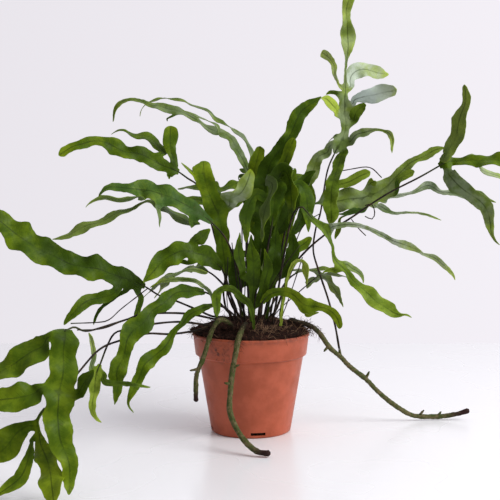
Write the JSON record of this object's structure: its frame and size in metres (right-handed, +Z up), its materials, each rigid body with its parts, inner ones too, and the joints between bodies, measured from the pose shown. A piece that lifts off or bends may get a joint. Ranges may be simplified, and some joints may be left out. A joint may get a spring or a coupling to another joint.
{
  "type": "potted kangaroo fern",
  "caption": "Fern in a tapered plastic nursery pot, with lobed arching fronds on dark stalks and creeping stems over the rim.",
  "frame": {"origin": "centre of the pot's flat foot, on the surface that the pot stands on", "axes": "+Z up through the pot's centre; the picture looks along +Y, with +X to its right"},
  "size_m": [0.5123, 0.4355, 0.468],
  "materials": {
    "pot_plastic": "terracotta coloured moulded plastic, soft satin",
    "soil_mix": "dark damp fibrous potting mix with reddish fibres",
    "rhizome_bark": "green-brown scaly creeping stem, dull",
    "stalk_bark": "near-black wiry stalk, slightly glossy",
    "leaf_dark": "leathery dark green blade, soft gloss",
    "leaf_mid": "leathery green blade, soft gloss",
    "leaf_light": "young yellow-green blade, soft gloss",
    "leaf_teal": "green blade with a grey-blue sheen"
  },
  "bodies": {
    "root": {"pot": "pot_plastic", "soil": "soil_mix", "rhizome_front": "rhizome_bark", "rhizome_left": "rhizome_bark", "rhizome_right": "rhizome_bark", "frond_far_left_stalk": "stalk_bark", "frond_far_left_blade": "leaf_dark", "frond_front_left_stalk": "stalk_bark", "frond_front_left_blade": "leaf_mid", "frond_front_low_stalk": "stalk_bark", "frond_front_low_blade": "leaf_mid", "frond_inner_left_stalk": "stalk_bark", "frond_inner_left_blade": "leaf_light", "frond_left_ribbon_stalk": "stalk_bark", "frond_left_ribbon_blade": "leaf_dark", "frond_left_wavy_stalk": "stalk_bark", "frond_left_wavy_blade": "leaf_mid", "frond_upper_left_stalk": "stalk_bark", "frond_upper_left_blade": "leaf_mid", "frond_tall_left_stalk": "stalk_bark", "frond_tall_left_blade": "leaf_mid", "frond_mid_left_stalk": "stalk_bark", "frond_mid_left_blade": "leaf_teal", "frond_left_arch_stalk": "stalk_bark", "frond_left_arch_blade": "leaf_mid", "frond_back_left_stalk": "stalk_bark", "frond_back_left_blade": "leaf_mid", "frond_centre_tall_stalk": "stalk_bark", "frond_centre_tall_blade": "leaf_dark", "frond_centre_right_stalk": "stalk_bark", "frond_centre_right_blade": "leaf_dark", "frond_centre_back_stalk": "stalk_bark", "frond_centre_back_blade": "leaf_dark", "frond_right_stalk": "stalk_bark", "frond_right_blade": "leaf_mid", "frond_right_broad_stalk": "stalk_bark", "frond_right_broad_blade": "leaf_teal", "frond_right_drooping_stalk": "stalk_bark", "frond_right_drooping_blade": "leaf_light", "frond_low_right_stalk": "stalk_bark", "frond_low_right_blade": "leaf_mid", "frond_behind_low_stalk": "stalk_bark", "frond_behind_low_blade": "leaf_mid", "frond_behind_stalk": "stalk_bark", "frond_behind_blade": "leaf_dark", "frond_behind_right_stalk": "stalk_bark", "frond_behind_right_blade": "leaf_mid", "frond_behind_left_tall_stalk": "stalk_bark", "frond_behind_left_tall_blade": "leaf_mid", "frond_behind_tall_stalk": "stalk_bark", "frond_behind_tall_blade": "leaf_dark", "frond_tallest_stalk": "stalk_bark", "frond_tallest_blade": "leaf_light", "leaf_hanging_light": "leaf_light", "leaf_oval": "leaf_mid", "leaf_curled": "leaf_light", "leaf_thin": "leaf_mid", "leaf_dark_short": "leaf_dark", "leaf_centre_front": "leaf_mid", "leaf_centre_inner": "leaf_dark"}
  },
  "joints": []
}
